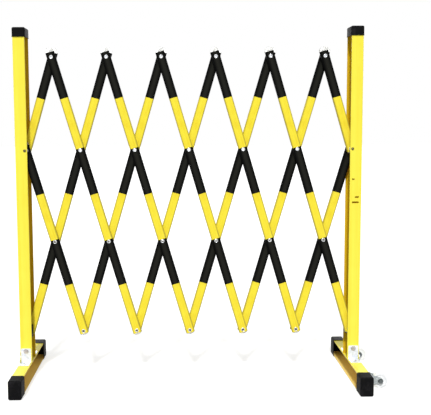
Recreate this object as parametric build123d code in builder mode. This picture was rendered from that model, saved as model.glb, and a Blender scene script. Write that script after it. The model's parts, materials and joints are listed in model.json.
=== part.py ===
from build123d import *
import math
import os

# An expandable safety barrier: a scissor lattice of flat tubes between two posts on feet.
# It stands on the floor at z = 0, with x along its width, y from front to back and z up.
# The origin is on the floor, in the middle of the barrier's width and depth as it stands here.

# Whole barrier
overall_height = 1200.0
foot_length = 407.0

# Lattice: each bar is pivoted every segment_length, and leans by the angle that the half pitch gives
segment_length = 326.0
rest_half_pitch = 92.0
post_pivot_height = 790.0
collapsed_angle = 3.5  # degrees from upright
extended_angle = 38.5
row_count = 4
half_pitch_count = 6  # from the lattice's middle to either post

# Bars: flat tubes in two layers, the front one leaning down to the right and the rear one to the left
bar_width = 30.0
bar_depth = 12.0
bar_wall = 2.0
bar_corner = 3.5
upper_overhang = 17.0  # of the tube past its top pivot
lower_overhang = 9.0  # of the tube past its bottom pivot
layer_gap = 2.0

# End plugs: the upper nose is a half circle, the lower one a flatter arc
lower_nose = 6.0
upper_insert = 8.0
lower_insert = 3.0
plug_edge = 2.2

# Hollow rivets and their washers
rivet_radius = 5.0
rivet_bore_radius = 3.8
rivet_head_radius = 6.6
rivet_head_height = 2.0
rivet_head_edge = 0.8
washer_radius = 8.5
running_clearance = 0.06  # radial, between a pin and the hole that turns on it
face_clearance = 0.2  # between flat faces that turn past each other
seat_clearance = 0.05  # radial, between pieces that are fixed together

# Post and foot: channels of the same section, both open towards the lattice
post_width = 40.0
post_depth = 60.0
post_wall = 3.0
post_corner = 2.0
pivot_inset = 8.0  # from the post's open edge to the pivots
foot_width = 40.0
foot_height = 60.0
foot_wall = 3.0
foot_corner = 2.0

# Moulded caps on the post's top and the foot's ends
cap_wall = 2.5
post_cap_height = 32.0
foot_cap_length = 45.0
cap_edge = 2.0

# Bolts
bolt_radius = 4.0
bolt_head_radius = 7.2
bolt_head_height = 5.0
nut_height = 6.5
bolt_tail = 3.0
pivot_head_radius = 5.0
pivot_head_height = 3.0
screw_radius = 2.5
screw_head_radius = 5.0
screw_head_height = 2.5
screw_length = 12.0
spacer_radius = 8.0

# Brackets between post and foot
bracket_thickness = 3.0
bracket_width = 34.0
bracket_height = 48.0
bracket_reach = 42.0
bracket_corner = 4.0
post_bolt_rise = 38.0
cross_bolt_rise = 18.0
screw_reach = 27.0
strap_width = 40.0
strap_height = 76.0
strap_rise = 32.0

# Slide blocks and the rods that guide them inside the posts
block_height = 40.0
block_edge = 1.5
block_clearance = 0.3
rod_radius = 5.0
rod_clearance = 0.3
rod_offset = 8.0  # from the post's middle towards its web
pin_depth = 18.0
clip_height = 8.0
clip_width = 20.0
clip_reach = 17.0
stop_gap = 3.0

# Slots and hole in the right post's front
long_slot_length = 24.0
long_slot_width = 6.0
long_slot_height = 608.0
short_slot_length = 14.0
short_slot_height = 626.0
short_slot_offset = 5.0
sign_hole_length = 10.0
sign_hole_width = 5.0
sign_hole_height = 687.0
sign_hole_offset = 8.0

# Casters on the right foot's outer side
wheel_radius = 25.0
wheel_width = 18.0
wheel_edge = 2.0
wheel_groove_radius = 16.0
wheel_groove_width = 3.0
wheel_groove_depth = 2.0
wheel_side_clearance = 1.0
wheel_inset = 80.5  # from the foot's end to the wheel's middle
wheel_reach = 44.0  # from the foot's side to the axle
fork_thickness = 2.5
fork_plate_height = 38.0
fork_plate_width = 46.0
fork_hub_radius = 8.0
fork_screw_spacing = 36.0
overrun = 5.0  # how far a cutting shape runs past a face

# Worked out from the sizes above
lean_across = rest_half_pitch / segment_length
lean_down = math.sqrt(1 - lean_across**2)
row_height = segment_length * lean_down
half_span = half_pitch_count * rest_half_pitch
post_offset = half_span - pivot_inset + post_width / 2
left_reach = post_offset + foot_width / 2 + bracket_thickness + bolt_head_height
right_reach = post_offset + foot_width / 2 + wheel_reach + wheel_radius
lattice_x = (left_reach - right_reach) / 2
front_layer_y = -(layer_gap + bar_depth) / 2
rear_layer_y = -front_layer_y
lattice_half_depth = bar_depth + layer_gap / 2
foot_top = cap_wall + foot_height
slide_rise_low = 2 * segment_length * math.cos(math.radians(collapsed_angle))
slide_rise_high = 2 * segment_length * math.cos(math.radians(extended_angle))
slide_low = post_pivot_height - slide_rise_low
slide_high = post_pivot_height - slide_rise_high
last_row = row_count - 1
wheel_offset = foot_length / 2 - wheel_inset

os.makedirs("parts", exist_ok=True)


def save(sub_part, label):
    """Name a finished sub-part and write it."""
    sub_part.part.label = label
    export_step(sub_part.part, f"parts/{label}.step")


def pivot_x(step):
    """Place across the barrier of a pivot, counted in half pitches from the lattice's middle."""
    return lattice_x + step * rest_half_pitch


def pivot_z(row):
    """Height of a row of pivots, where the top row is 0 and the posts' pivots are in row 1."""
    return post_pivot_height + (1 - row) * row_height


def post_x(side):
    """Middle of the left post (side -1) or the right post (side 1)."""
    return lattice_x + side * post_offset


def bar_pivots(first, lean):
    """Pivots of a bar that starts at step first in row 0 and moves by lean at each row down."""
    pivots = [(first + lean * row, row) for row in range(row_count)]
    return [(step, row) for step, row in pivots if abs(step) <= half_pitch_count]


def at_post(step, row):
    """Whether a pivot is the bolt on a post."""
    return abs(step) == half_pitch_count and row == 1


def at_slide(step, row):
    """Whether a pivot is the pin of a slide block."""
    return abs(step) == half_pitch_count and row == last_row


def make_bar(label, first, lean, layer_y):
    """A flat tube, holed at each of its pivots."""
    pivots = bar_pivots(first, lean)
    step, row = pivots[0]
    down = Vector(lean * lean_across, 0, -lean_down)
    top = Vector(pivot_x(step), layer_y, pivot_z(row)) - down * upper_overhang
    across = Plane(origin=top, x_dir=(lean_down, 0, lean * lean_across), z_dir=down)
    length = (len(pivots) - 1) * segment_length + upper_overhang + lower_overhang
    with BuildPart() as bar:
        with BuildSketch(across):
            RectangleRounded(bar_width, bar_depth, bar_corner)
            RectangleRounded(
                bar_width - 2 * bar_wall,
                bar_depth - 2 * bar_wall,
                bar_corner - bar_wall,
                mode=Mode.SUBTRACT,
            )
        extrude(amount=length)
        with BuildSketch(Plane.XZ.offset(-layer_y)):
            for step, row in pivots:
                bolted = at_post(step, row) or at_slide(step, row)
                radius = bolt_radius if bolted else rivet_radius
                with Locations((pivot_x(step), pivot_z(row))):
                    Circle(radius + running_clearance)
        extrude(amount=bar_depth, both=True, mode=Mode.SUBTRACT)
    save(bar, label)


def make_plugs(label, first, lean, layer_y):
    """The two plugs of a bar, each with a round nose as wide and as deep as the tube."""
    pivots = bar_pivots(first, lean)
    half_width = bar_width / 2
    ends = (
        (pivots[0], -1, upper_overhang, half_width, upper_insert),
        (pivots[-1], 1, lower_overhang, lower_nose, lower_insert),
    )
    with BuildPart() as plugs:
        for (step, row), way, overhang, nose, insert in ends:
            out = Vector(lean * lean_across, 0, -lean_down) * way
            end = Vector(pivot_x(step), layer_y, pivot_z(row)) + out * overhang
            face = Plane(origin=end, x_dir=(out.Z, 0, -out.X), z_dir=(0, -1, 0))
            with BuildSketch(face):
                with BuildLine():
                    ThreePointArc((half_width, 0), (0, nose), (-half_width, 0))
                    Line((-half_width, 0), (half_width, 0))
                make_face()
            extrude(amount=bar_depth / 2, both=True)
            with BuildSketch(Plane(origin=end, x_dir=(out.Z, 0, -out.X), z_dir=-out)):
                RectangleRounded(
                    bar_width - 2 * (bar_wall + seat_clearance),
                    bar_depth - 2 * (bar_wall + seat_clearance),
                    bar_corner - bar_wall - seat_clearance,
                )
            extrude(amount=insert)
        noses = plugs.edges().filter_by(GeomType.CIRCLE)
        fillet([edge for edge in noses if edge.radius > bar_width / 4], plug_edge)
    save(plugs, label)


def make_rivets(label, first):
    """The hollow rivets that a front bar carries, with the washers between the layers."""
    head_front = lattice_half_depth + rivet_head_height
    head_rear = lattice_half_depth + face_clearance
    places = [
        (pivot_x(step), 0, pivot_z(row))
        for step, row in bar_pivots(first, 1)
        if not (at_post(step, row) or at_slide(step, row))
    ]
    with BuildPart() as rivet:
        with BuildSketch(Plane.XY):
            with BuildLine():
                Polyline(
                    (rivet_bore_radius, -head_front),
                    (rivet_head_radius - rivet_head_edge, -head_front),
                    (rivet_head_radius, -head_front + rivet_head_edge),
                    (rivet_head_radius, -lattice_half_depth),
                    (rivet_radius, -lattice_half_depth),
                    (rivet_radius, head_rear),
                    (rivet_head_radius, head_rear),
                    (rivet_head_radius, head_rear + rivet_head_height - rivet_head_edge),
                    (rivet_head_radius - rivet_head_edge, head_rear + rivet_head_height),
                    (rivet_bore_radius, head_rear + rivet_head_height),
                    close=True,
                )
            make_face()
        revolve(axis=Axis.Y)
        with BuildSketch(Plane.XZ):
            Circle(washer_radius)
            Circle(rivet_radius + block_clearance, mode=Mode.SUBTRACT)
        extrude(amount=layer_gap / 2 - face_clearance, both=True)
    with BuildPart() as rivets:
        with Locations(*places):
            add(rivet.part)
    save(rivets, label)


def bolt_shape(grip, round_head=False):
    """A bolt whose hexagon or round head stands on z = 0, and its nut below the grip."""
    with BuildPart() as bolt:
        with BuildSketch(Plane.XY):
            if round_head:
                Circle(pivot_head_radius)
            else:
                RegularPolygon(bolt_head_radius, 6)
        extrude(amount=pivot_head_height if round_head else bolt_head_height)
        with BuildSketch(Plane.XY):
            Circle(bolt_radius)
        extrude(amount=-(grip + nut_height + bolt_tail))
        with BuildSketch(Plane.XY.offset(-grip)):
            RegularPolygon(bolt_head_radius, 6)
            Circle(bolt_radius + seat_clearance, mode=Mode.SUBTRACT)
        extrude(amount=-nut_height)
    return bolt.part


def screw_shape(head_radius, head_height, radius, length):
    """A round-headed screw or pin whose head stands on z = 0."""
    with BuildPart() as screw:
        with BuildSketch(Plane.XY):
            Circle(head_radius)
        extrude(amount=head_height)
        with BuildSketch(Plane.XY):
            Circle(radius)
        extrude(amount=-length)
    return screw.part


def make_post(label, side):
    """A channel with its web outside and its open side towards the lattice."""
    middle = post_x(side)
    with BuildPart() as post:
        with BuildSketch(Plane.XY.offset(foot_top)):
            with Locations((middle, 0)):
                RectangleRounded(post_width, post_depth, post_corner)
            with Locations((middle - side * post_wall, 0)):
                Rectangle(post_width, post_depth - 2 * post_wall, mode=Mode.SUBTRACT)
        extrude(amount=overall_height - cap_wall - foot_top)
        with BuildSketch(Plane.XZ):
            with Locations((pivot_x(side * half_pitch_count), post_pivot_height)):
                Circle(bolt_radius + seat_clearance)
            with Locations((middle, foot_top + post_bolt_rise)):
                Circle(bolt_radius + seat_clearance)
        extrude(amount=post_depth, both=True, mode=Mode.SUBTRACT)
        with BuildSketch(Plane.YZ.offset(middle)):
            with Locations((0, foot_top + cross_bolt_rise)):
                Circle(bolt_radius + seat_clearance)
        extrude(amount=side * post_width, mode=Mode.SUBTRACT)
        if side > 0:
            with BuildSketch(Plane.XZ.offset(post_depth / 2 + overrun)):
                with Locations((middle, long_slot_height)):
                    SlotOverall(long_slot_length, long_slot_width)
                with Locations((middle + short_slot_offset, short_slot_height)):
                    SlotOverall(short_slot_length, long_slot_width)
                with Locations((middle - sign_hole_offset, sign_hole_height)):
                    SlotOverall(sign_hole_length, sign_hole_width)
            extrude(amount=-(post_wall + 2 * overrun), mode=Mode.SUBTRACT)
    save(post, label)


def make_post_cap(label, side):
    """A moulded cap over the post's top, closed on all four sides."""
    with BuildPart() as cap:
        with BuildSketch(Plane.XY.offset(overall_height)):
            with Locations((post_x(side), 0)):
                Rectangle(post_width + 2 * cap_wall, post_depth + 2 * cap_wall)
        extrude(amount=-post_cap_height)
        fillet(cap.edges().filter_by(Axis.Z) + cap.edges().group_by(Axis.Z)[-1], cap_edge)
        with BuildSketch(Plane.XY.offset(overall_height - cap_wall)):
            with Locations((post_x(side), 0)):
                Rectangle(post_width, post_depth)
        extrude(amount=-post_cap_height, mode=Mode.SUBTRACT)
    save(cap, label)


def make_foot(label, side):
    """A channel from front to back with its web outside, holed for the strap's bolt and the screws."""
    length = foot_length - 2 * cap_wall
    centre_z = cap_wall + foot_height / 2
    with BuildPart() as foot:
        with BuildSketch(Plane.XZ.offset(-length / 2)):
            with Locations((post_x(side), centre_z)):
                RectangleRounded(foot_width, foot_height, foot_corner)
            with Locations((post_x(side) - side * foot_wall, centre_z)):
                Rectangle(foot_width, foot_height - 2 * foot_wall, mode=Mode.SUBTRACT)
        extrude(amount=length)
        with BuildSketch(Plane.YZ.offset(post_x(side))):
            with Locations((0, centre_z)):
                Circle(bolt_radius + seat_clearance)
        extrude(amount=side * foot_width, mode=Mode.SUBTRACT)
        with BuildSketch(Plane.XY.offset(foot_top + overrun)):
            with Locations(*[(post_x(side), end * screw_y()) for end in (-1, 1)]):
                Circle(screw_radius + seat_clearance)
        extrude(amount=-(foot_wall + 2 * overrun), mode=Mode.SUBTRACT)
        if side > 0:
            with BuildSketch(Plane.YZ.offset(post_x(side))):
                with Locations(*fork_screw_places()):
                    Circle(screw_radius + seat_clearance)
            extrude(amount=foot_width, mode=Mode.SUBTRACT)
    save(foot, label)


def screw_y():
    """Distance of the foot's screws from the post's middle, towards either end."""
    return post_depth / 2 + screw_reach


def fork_screw_places():
    """Places of the caster screws on the foot's outer side, as distances along y and z."""
    return [
        (end * wheel_offset + way * fork_screw_spacing / 2, fork_plate_z())
        for end in (-1, 1)
        for way in (-1, 1)
    ]


def fork_plate_z():
    """Height of the middle of a caster's plate, which sits in the middle of the foot's side."""
    return cap_wall + foot_height / 2


def make_foot_caps(label, side):
    """Moulded boots over the foot's ends, which carry the barrier on the floor."""
    with BuildPart() as caps:
        for end in (-1, 1):
            with BuildSketch(Plane.XZ.offset(end * foot_length / 2)):
                with Locations((post_x(side), cap_wall + foot_height / 2)):
                    Rectangle(foot_width + 2 * cap_wall, foot_height + 2 * cap_wall)
            extrude(amount=-end * foot_cap_length)
        outer = caps.edges().filter_by(Axis.Y) + caps.edges().group_by(Axis.Y)[0]
        fillet(outer + caps.edges().group_by(Axis.Y)[-1], cap_edge)
        for end in (-1, 1):
            with BuildSketch(Plane.XZ.offset(end * (foot_length / 2 - cap_wall))):
                with Locations((post_x(side), cap_wall + foot_height / 2)):
                    Rectangle(foot_width, foot_height)
            extrude(amount=-end * foot_cap_length, mode=Mode.SUBTRACT)
    save(caps, label)


def make_brackets(label, side):
    """Angle brackets in front of and behind the post, and a strap over its web and the foot's outer side."""
    middle = post_x(side)
    outer = middle + side * post_width / 2
    near = post_depth / 2
    with BuildPart() as brackets:
        with BuildSketch(Plane.YZ.offset(middle - bracket_width / 2)):
            for end in (-1, 1):
                with BuildLine():
                    Polyline(
                        (end * near, foot_top),
                        (end * near, foot_top + bracket_height),
                        (end * (near + bracket_thickness), foot_top + bracket_height),
                        (end * (near + bracket_thickness), foot_top + bracket_thickness),
                        (end * (near + bracket_reach), foot_top + bracket_thickness),
                        (end * (near + bracket_reach), foot_top),
                        close=True,
                    )
                make_face()
        extrude(amount=bracket_width)
        ends = brackets.edges().filter_by(Axis.Z)
        fillet(
            brackets.edges().filter_by(Axis.Y).group_by(Axis.Z)[-1]
            + ends.group_by(Axis.Y)[0]
            + ends.group_by(Axis.Y)[-1],
            bracket_corner,
        )
        with BuildSketch(Plane.XZ):
            with Locations((middle, foot_top + post_bolt_rise)):
                Circle(bolt_radius + seat_clearance)
        extrude(amount=post_depth, both=True, mode=Mode.SUBTRACT)
        with BuildSketch(Plane.XY.offset(foot_top + overrun)):
            with Locations((middle, -screw_y()), (middle, screw_y())):
                Circle(screw_radius + seat_clearance)
        extrude(amount=-2 * overrun, mode=Mode.SUBTRACT)
        with BuildSketch(Plane.YZ.offset(outer)):
            with Locations((0, foot_top + strap_rise - strap_height / 2)):
                RectangleRounded(strap_width, strap_height, bracket_corner)
            with Locations((0, foot_top + cross_bolt_rise), (0, cap_wall + foot_height / 2)):
                Circle(bolt_radius + seat_clearance, mode=Mode.SUBTRACT)
        extrude(amount=side * bracket_thickness)
    save(brackets, label)


def make_bolts(label, side):
    """The post's pivot bolt, the bolts through post, foot and brackets, and the foot's screws."""
    middle = post_x(side)
    front = -post_depth / 2
    strap_face = middle + side * (post_width / 2 + bracket_thickness)
    pivot = (pivot_x(side * half_pitch_count), front, post_pivot_height)
    through = (middle, front - bracket_thickness, foot_top + post_bolt_rise)
    web_bolt_seat = Plane(origin=(strap_face, 0, foot_top + cross_bolt_rise), z_dir=(side, 0, 0))
    foot_bolt_seat = Plane(origin=(strap_face, 0, cap_wall + foot_height / 2), z_dir=(side, 0, 0))
    screw_tops = [(middle, end * screw_y(), foot_top + bracket_thickness) for end in (-1, 1)]
    pivot_bolt = bolt_shape(post_depth, round_head=True)
    through_bolt = bolt_shape(post_depth + 2 * bracket_thickness)
    web_bolt = bolt_shape(bracket_thickness + post_wall)
    foot_bolt = bolt_shape(bracket_thickness + foot_wall)
    foot_screw = screw_shape(screw_head_radius, screw_head_height, screw_radius, screw_length)
    with BuildPart() as bolts:
        with Locations(Plane(origin=pivot, z_dir=(0, -1, 0))):
            add(pivot_bolt)
        with Locations(Plane(origin=through, z_dir=(0, -1, 0))):
            add(through_bolt)
        with Locations(web_bolt_seat):
            add(web_bolt)
        with Locations(foot_bolt_seat):
            add(foot_bolt)
        with Locations(*screw_tops):
            add(foot_screw)
    save(bolts, label)


def make_spacers(label, side):
    """Moulded tubes on the pivot bolt, which hold the lattice in the middle of the channel."""
    length = post_depth / 2 - post_wall - lattice_half_depth - 2 * face_clearance
    with BuildPart() as spacers:
        for end in (-1, 1):
            with BuildSketch(Plane.XZ.offset(end * (lattice_half_depth + face_clearance))):
                with Locations((pivot_x(side * half_pitch_count), post_pivot_height)):
                    Circle(spacer_radius)
                    Circle(bolt_radius + seat_clearance, mode=Mode.SUBTRACT)
            extrude(amount=end * length)
    save(spacers, label)


def block_depth(side):
    """Places in depth of the slide block's face on the last bar, and of its face on the channel's side."""
    at_bar = side * (face_clearance - layer_gap / 2)
    at_channel = side * (post_depth / 2 - post_wall - block_clearance)
    return at_bar, at_channel


def rod_place(side):
    """Where the guide rod stands, in the middle of the slide block's depth."""
    return post_x(side) + side * rod_offset, sum(block_depth(side)) / 2


def make_block(label, side):
    """A moulded block that slides on the guide rod and holds the end of the lattice's last row."""
    at_bar, at_channel = block_depth(side)
    width = post_width - post_wall - 2 * block_clearance
    height = pivot_z(last_row)
    with BuildPart() as block:
        with BuildSketch(Plane.XY.offset(height - block_height / 2)):
            with Locations((post_x(side) - side * post_wall / 2, (at_bar + at_channel) / 2)):
                RectangleRounded(width, abs(at_channel - at_bar), block_edge)
            with Locations(rod_place(side)):
                Circle(rod_radius + rod_clearance, mode=Mode.SUBTRACT)
        extrude(amount=block_height)
        with BuildSketch(Plane.XZ.offset(-at_bar)):
            with Locations((pivot_x(side * half_pitch_count), height)):
                Circle(bolt_radius + seat_clearance)
        extrude(amount=-side * pin_depth, mode=Mode.SUBTRACT)
    save(block, label)


def make_pin(label, side):
    """The headed pin from the slide block through the lattice's last bar."""
    at_bar, at_channel = block_depth(side)
    seat = (
        pivot_x(side * half_pitch_count),
        -side * (lattice_half_depth + face_clearance),
        pivot_z(last_row),
    )
    length = lattice_half_depth + face_clearance + side * at_bar + pin_depth
    headed_pin = screw_shape(rivet_head_radius, rivet_head_height, bolt_radius, length)
    with BuildPart() as pin:
        with Locations(Plane(origin=seat, z_dir=(0, -side, 0))):
            add(headed_pin)
    save(pin, label)


def make_rod(label, side):
    """The guide rod inside the channel, and the two clips that hold it to the web and stop the block."""
    rod_x, rod_y = rod_place(side)
    low_stop = slide_low - block_height / 2 - stop_gap
    high_stop = slide_high + block_height / 2 + stop_gap
    clip_x = post_x(side) + side * (post_width / 2 - post_wall - clip_reach / 2)
    with BuildPart() as rod:
        with BuildSketch(Plane.XY.offset(low_stop - clip_height)):
            with Locations((rod_x, rod_y)):
                Circle(rod_radius)
        extrude(amount=high_stop - low_stop + 2 * clip_height)
        for base in (low_stop - clip_height, high_stop):
            with BuildSketch(Plane.XY.offset(base)):
                with Locations((clip_x, rod_y)):
                    Rectangle(clip_reach, clip_width)
                with Locations((rod_x, rod_y)):
                    Circle(rod_radius + seat_clearance, mode=Mode.SUBTRACT)
            extrude(amount=clip_height)
    save(rod, label)


def axle_x():
    """Place across the barrier of the casters' axles."""
    return post_x(1) + foot_width / 2 + wheel_reach


def fork_inner():
    """Distance from a wheel's middle to the inner face of its fork."""
    return wheel_width / 2 + wheel_side_clearance


def make_wheel(label, end):
    """A moulded wheel with a ring groove in each face."""
    groove_in = wheel_groove_radius - wheel_groove_width / 2
    groove_out = wheel_groove_radius + wheel_groove_width / 2
    half = wheel_width / 2
    floor = half - wheel_groove_depth
    with BuildPart() as wheel:
        with BuildSketch(Plane.XY):
            with BuildLine():
                Polyline(
                    (bolt_radius + running_clearance, -half),
                    (groove_in, -half),
                    (groove_in, -floor),
                    (groove_out, -floor),
                    (groove_out, -half),
                    (wheel_radius - wheel_edge, -half),
                    (wheel_radius, -half + wheel_edge),
                    (wheel_radius, half - wheel_edge),
                    (wheel_radius - wheel_edge, half),
                    (groove_out, half),
                    (groove_out, floor),
                    (groove_in, floor),
                    (groove_in, half),
                    (bolt_radius + running_clearance, half),
                    close=True,
                )
            make_face()
        revolve(axis=Axis.Y)
    with BuildPart() as placed:
        with Locations((axle_x(), end * wheel_offset, wheel_radius)):
            add(wheel.part)
    save(placed, label)


def make_forks(label):
    """The two caster brackets: a plate on the foot's side and a tapered cheek each side of the wheel."""
    side_face = post_x(1) + foot_width / 2
    low = fork_plate_z() - fork_plate_height / 2
    high = fork_plate_z() + fork_plate_height / 2
    with BuildPart() as forks:
        for end in (-1, 1):
            wheel_y = end * wheel_offset
            with BuildSketch(Plane.YZ.offset(side_face)):
                with Locations((wheel_y, fork_plate_z())):
                    RectangleRounded(fork_plate_width, fork_plate_height, bracket_corner)
            extrude(amount=fork_thickness)
            for way in (-1, 1):
                cheek = -(wheel_y + way * (fork_inner() + fork_thickness / 2))
                with BuildSketch(Plane.XZ.offset(cheek)):
                    with BuildLine():
                        Polyline(
                            (side_face, low),
                            (side_face, high),
                            (axle_x(), wheel_radius + fork_hub_radius),
                            (axle_x(), wheel_radius - fork_hub_radius),
                            close=True,
                        )
                    make_face()
                    with Locations((axle_x(), wheel_radius)):
                        Circle(fork_hub_radius)
                        Circle(bolt_radius + seat_clearance, mode=Mode.SUBTRACT)
                extrude(amount=fork_thickness / 2, both=True)
        with BuildSketch(Plane.YZ.offset(side_face - overrun)):
            with Locations(*fork_screw_places()):
                Circle(screw_radius + seat_clearance)
        extrude(amount=fork_thickness + 2 * overrun, mode=Mode.SUBTRACT)
    save(forks, label)


def make_caster_bolts(label):
    """The casters' axle bolts and nuts, and the screws that hold the forks to the foot."""
    face = post_x(1) + foot_width / 2 + fork_thickness
    grip = 2 * (fork_inner() + fork_thickness)
    axle = bolt_shape(grip)
    fork_screw = screw_shape(screw_head_radius, screw_head_height, screw_radius, screw_length)
    heads = [
        Plane(
            origin=(axle_x(), end * wheel_offset - grip / 2, wheel_radius),
            z_dir=(0, -1, 0),
        )
        for end in (-1, 1)
    ]
    seats = [Plane(origin=(face, y, z), z_dir=(1, 0, 0)) for y, z in fork_screw_places()]
    with BuildPart() as bolts:
        with Locations(*heads):
            add(axle)
        with Locations(*seats):
            add(fork_screw)
    save(bolts, label)


for number, first in enumerate(range(-half_pitch_count - 1, half_pitch_count, 2), start=1):
    make_bar(f"front_bar_{number}", first, 1, front_layer_y)
    make_plugs(f"front_plugs_{number}", first, 1, front_layer_y)
    make_rivets(f"rivets_{number}", first)

for number, first in enumerate(range(1 - half_pitch_count, half_pitch_count + 2, 2), start=1):
    make_bar(f"rear_bar_{number}", first, -1, rear_layer_y)
    make_plugs(f"rear_plugs_{number}", first, -1, rear_layer_y)

for name, side in (("left", -1), ("right", 1)):
    make_post(f"{name}_post", side)
    make_post_cap(f"{name}_post_cap", side)
    make_foot(f"{name}_foot", side)
    make_foot_caps(f"{name}_foot_caps", side)
    make_brackets(f"{name}_foot_brackets", side)
    make_bolts(f"{name}_bolts", side)
    make_spacers(f"{name}_pivot_spacers", side)
    make_rod(f"{name}_guide_rod", side)
    make_block(f"{name}_slide_block", side)
    make_pin(f"{name}_slide_pin", side)

make_forks("caster_forks")
make_caster_bolts("caster_bolts")
make_wheel("front_wheel", -1)
make_wheel("rear_wheel", 1)
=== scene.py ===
import bmesh
import bpy
import json
import math
from mathutils import Matrix, Vector


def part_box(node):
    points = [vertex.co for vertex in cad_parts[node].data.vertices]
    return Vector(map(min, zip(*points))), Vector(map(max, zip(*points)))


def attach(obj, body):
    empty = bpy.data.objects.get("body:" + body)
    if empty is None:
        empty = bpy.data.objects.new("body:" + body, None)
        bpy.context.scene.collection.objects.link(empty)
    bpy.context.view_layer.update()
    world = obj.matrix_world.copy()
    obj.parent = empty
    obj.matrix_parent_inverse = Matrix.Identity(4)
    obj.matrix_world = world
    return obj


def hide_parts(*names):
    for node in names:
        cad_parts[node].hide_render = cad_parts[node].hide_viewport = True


# An expandable safety barrier: the looks of every piece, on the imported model's bodies.
# All sizes are in metres, with x along the barrier's width, y from front to back and z up.

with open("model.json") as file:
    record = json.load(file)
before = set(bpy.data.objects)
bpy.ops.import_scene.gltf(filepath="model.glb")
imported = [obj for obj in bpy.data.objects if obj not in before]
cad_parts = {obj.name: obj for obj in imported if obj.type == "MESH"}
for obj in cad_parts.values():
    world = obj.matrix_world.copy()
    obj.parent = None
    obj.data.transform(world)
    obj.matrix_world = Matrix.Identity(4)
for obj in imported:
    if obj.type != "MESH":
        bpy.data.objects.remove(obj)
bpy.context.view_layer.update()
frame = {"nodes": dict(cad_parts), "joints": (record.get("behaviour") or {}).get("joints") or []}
bpy.ops.object.select_all(action="DESELECT")
joints = {joint["name"]: joint for joint in frame["joints"]}
nodes = frame["nodes"]

# The lattice's layout, from the joints
LEFT_PIVOT = Vector(joints["lattice_spread"]["pos_m"])
RIGHT_PIVOT = Vector(joints["right_stand_pivot"]["pos_m"])
SLIDE_PIVOT = Vector(joints["left_slider_pivot"]["pos_m"])
END_STEP = 6  # half pitches from the lattice's middle to either post
ROW_COUNT = 4
HALF_PITCH = (RIGHT_PIVOT.x - LEFT_PIVOT.x) / (2 * END_STEP)
ROW_HEIGHT = (LEFT_PIVOT.z - SLIDE_PIVOT.z) / (ROW_COUNT - 2)
SEGMENT = math.hypot(HALF_PITCH, ROW_HEIGHT)
LEAN = math.atan2(HALF_PITCH, ROW_HEIGHT)
WHEEL_JOINTS = ("front_wheel_turn", "rear_wheel_turn")

# Bands of the bars
BAND = SEGMENT / 2
BAND_LEAD = 0.0065  # how far above a pivot its black band begins
FIRST_BAND_CUT = 0.013  # how much shorter the top band of a full bar is
BAND_WANDER = 0.0006  # how unevenly a band ends
BAND_END_MARGIN = 0.0002  # where the last band's colour is held to the bar's end

# Bars and their hollow rivets
BAR_WIDTH = 0.030
EDGE_SHADE_REACH = 0.0046  # how far the painted shade along a bar's edges reaches in
EDGE_WANDER = 0.001  # how unevenly it does so
RIVET_BORE = 0.0038
RIVET_HEAD = 0.0066
RIVET_HEAD_HEIGHT = 0.002
RIVET_BARREL = 0.005
LAYER_GAP = 0.002
FACE_CLEARANCE = 0.0002

# Bolts and screws
BOLT_RADIUS = 0.004
BOLT_HEAD = 0.0072
BOLT_HEAD_HEIGHT = 0.005
WASHER_RADIUS = 0.0085
BOLT_WASHER = 0.0012
NUT_HEIGHT = 0.0065
BOLT_TAIL = 0.003
BUTTON_RADIUS = 0.005
BUTTON_HEIGHT = 0.003
BUTTON_SOCKET = 0.0026
THREAD_PITCH = 0.0008
SCREW_RADIUS = 0.0025
SCREW_HEAD = 0.005
SCREW_HEAD_HEIGHT = 0.0025
SCREW_LENGTH = 0.012

# Brackets between post and foot
CHANNEL_WALL = 0.003  # of posts and feet
BRACKET_THICKNESS = 0.003
BRACKET_WIDTH = 0.034
BRACKET_HEIGHT = 0.048
BRACKET_REACH = 0.042
BRACKET_CORNER = 0.004
STRAP_WIDTH = 0.040
STRAP_HEIGHT = 0.076
POST_BOLT_RISE = 0.038
WEB_BOLT_RISE = 0.018
SCREW_REACH = 0.027

# Moulded caps and boots
CAP_WALL = 0.0025
CAP_DRAFT = 0.0006
CAP_LIP_SHARE = 1 / 7  # of the cap's length
CAP_SIDE_ROUND = 0.006
CAP_END_ROUND = 0.005
BOOT_LENGTH = 0.045

# Castors
FORK_THICKNESS = 0.0025
FORK_PLATE_HEIGHT = 0.038
FORK_PLATE_WIDTH = 0.046
FORK_HUB = 0.008
FORK_SCREW_SPACING = 0.036
WHEEL_SIDE_CLEARANCE = 0.001
WHEEL_CROWN = 0.0025
WHEEL_GROOVE = 0.016
WHEEL_GROOVE_WIDTH = 0.003
WHEEL_GROOVE_DEPTH = 0.002
WHEEL_CHAMFER = 0.0006


def pivot_place(step, row):
    """A pivot, counted in half pitches from the lattice's middle and in rows from the top."""
    across = (LEFT_PIVOT.x + RIGHT_PIVOT.x) / 2 + step * HALF_PITCH
    return Vector((across, 0, LEFT_PIVOT.z + (1 - row) * ROW_HEIGHT))


def bar_pivots(first, lean):
    """Pivots of a bar that starts at step first in row 0 and moves by lean at each row down."""
    pivots = [(first + lean * row, row) for row in range(ROW_COUNT)]
    return [(step, row) for step, row in pivots if abs(step) <= END_STEP]


# Bars by number, with the step at which each starts
FRONT_BARS = list(enumerate(range(-END_STEP - 1, END_STEP, 2), start=1))
REAR_BARS = list(enumerate(range(1 - END_STEP, END_STEP + 2, 2), start=1))


# Depths of the fine relief on laminate, plastic and zinc
BAND_RELIEF = 0.00025
GRAIN_RELIEF = 0.0002


# Shader maths

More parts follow.
